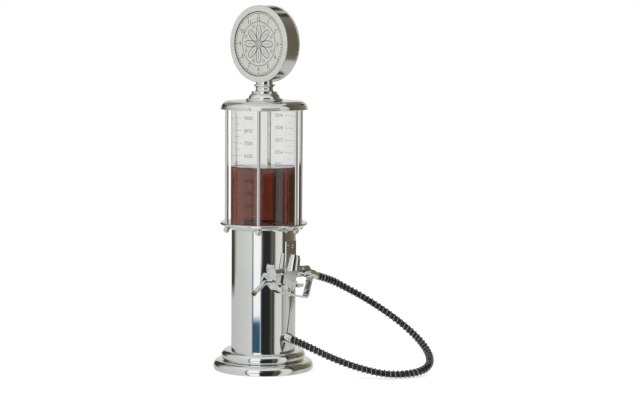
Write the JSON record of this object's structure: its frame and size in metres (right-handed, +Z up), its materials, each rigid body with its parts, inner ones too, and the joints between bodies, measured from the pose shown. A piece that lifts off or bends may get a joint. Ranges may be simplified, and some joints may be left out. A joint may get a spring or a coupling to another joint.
{
  "type": "cocktail dispenser",
  "caption": "Countertop drink dispenser shaped like an old petrol pump: clear canister between tie rods, round dial head, chrome column, and a hose nozzle with a sprung trigger.",
  "frame": {"origin": "centre of the face the base stands on, on the column's axis", "axes": "+Z up the column; the dial faces -Y; the nozzle and hose are on the +X side"},
  "size_m": [0.2725, 0.2418, 0.4942],
  "materials": {
    "chrome": "polished",
    "satin_plate": "satin",
    "steel": "satin",
    "spring_steel": "bright wire",
    "cast_iron": "rough",
    "brass": "satin",
    "clear_plastic": "polished",
    "black_rubber": "matt",
    "silicone": "matt",
    "white_plastic": "moulded"
  },
  "bodies": {
    "stand": {"foot_pad": "black_rubber", "base_plate": "steel", "ballast": "cast_iron", "base_shell": "chrome", "base_screws": "steel", "column_tube": "chrome", "column_foot_flange": "steel", "column_top_flange": "steel", "deck_screws": "steel", "hose_fitting": "brass", "fitting_collar": "chrome", "fitting_washer": "black_rubber", "fitting_nut": "steel", "drop_tube": "silicone", "mid_ring": "chrome", "lower_gasket": "black_rubber", "canister": "clear_plastic", "outlet_fitting": "brass", "outlet_seal": "black_rubber", "outlet_nut": "steel", "upper_gasket": "black_rubber", "tie_rod_1": "chrome", "tie_rod_2": "chrome", "tie_rod_3": "chrome", "tie_rod_4": "chrome", "tie_rod_5": "chrome", "tie_rod_6": "chrome", "ball_nuts": "chrome", "lid": "chrome", "filler_neck": "white_plastic", "holder_bracket": "chrome", "holder_screws": "steel", "hose": "black_rubber", "hose_spring": "spring_steel"},
    "dial_head": {"filler_plug": "white_plastic", "plug_seal": "black_rubber", "finial": "chrome", "finial_stud": "steel", "dial_housing": "chrome", "front_bezel": "chrome", "rear_bezel": "chrome", "front_face": "satin_plate", "rear_face": "satin_plate"},
    "nozzle": {"nozzle_body": "chrome", "valve_cap": "chrome", "valve_seal": "black_rubber", "valve_spring": "steel", "spout_collar": "chrome", "spout_tube": "chrome", "spout_tip": "brass", "rear_collar": "chrome", "hose_nut": "chrome", "hanger_stud": "steel", "trigger_pin": "steel", "trigger_guard": "chrome"},
    "trigger": {"trigger": "chrome"},
    "valve": {"valve_stem": "steel"}
  },
  "joints": [
    {"name": "filler_lift", "type": "slide", "parent": "stand", "child": "dial_head", "axis": [0, 0, 1], "range_m": [0, 0.09]},
    {"name": "nozzle_lift", "type": "slide", "parent": "stand", "child": "nozzle", "axis": [0, 0, 1], "range_m": [0, 0.024], "deforming": ["hose", "hose_spring"]},
    {"name": "trigger_squeeze", "type": "hinge", "parent": "nozzle", "child": "trigger", "pos_m": [0.056, -0.0089, 0.1172], "axis": [1, 0, 0], "range_deg": [0, 12], "stiffness_Nm_per_rad": 0.4, "springref_deg": -11.46},
    {"name": "valve_slide", "type": "slide", "parent": "nozzle", "child": "valve", "axis": [0, 0, 1], "range_m": [0, 0.0016], "deforming": ["valve_spring"]}
  ],
  "couplings": [
    {"joint": "valve_slide", "follows": "trigger_squeeze", "m_per_rad": 0.0075}
  ]
}
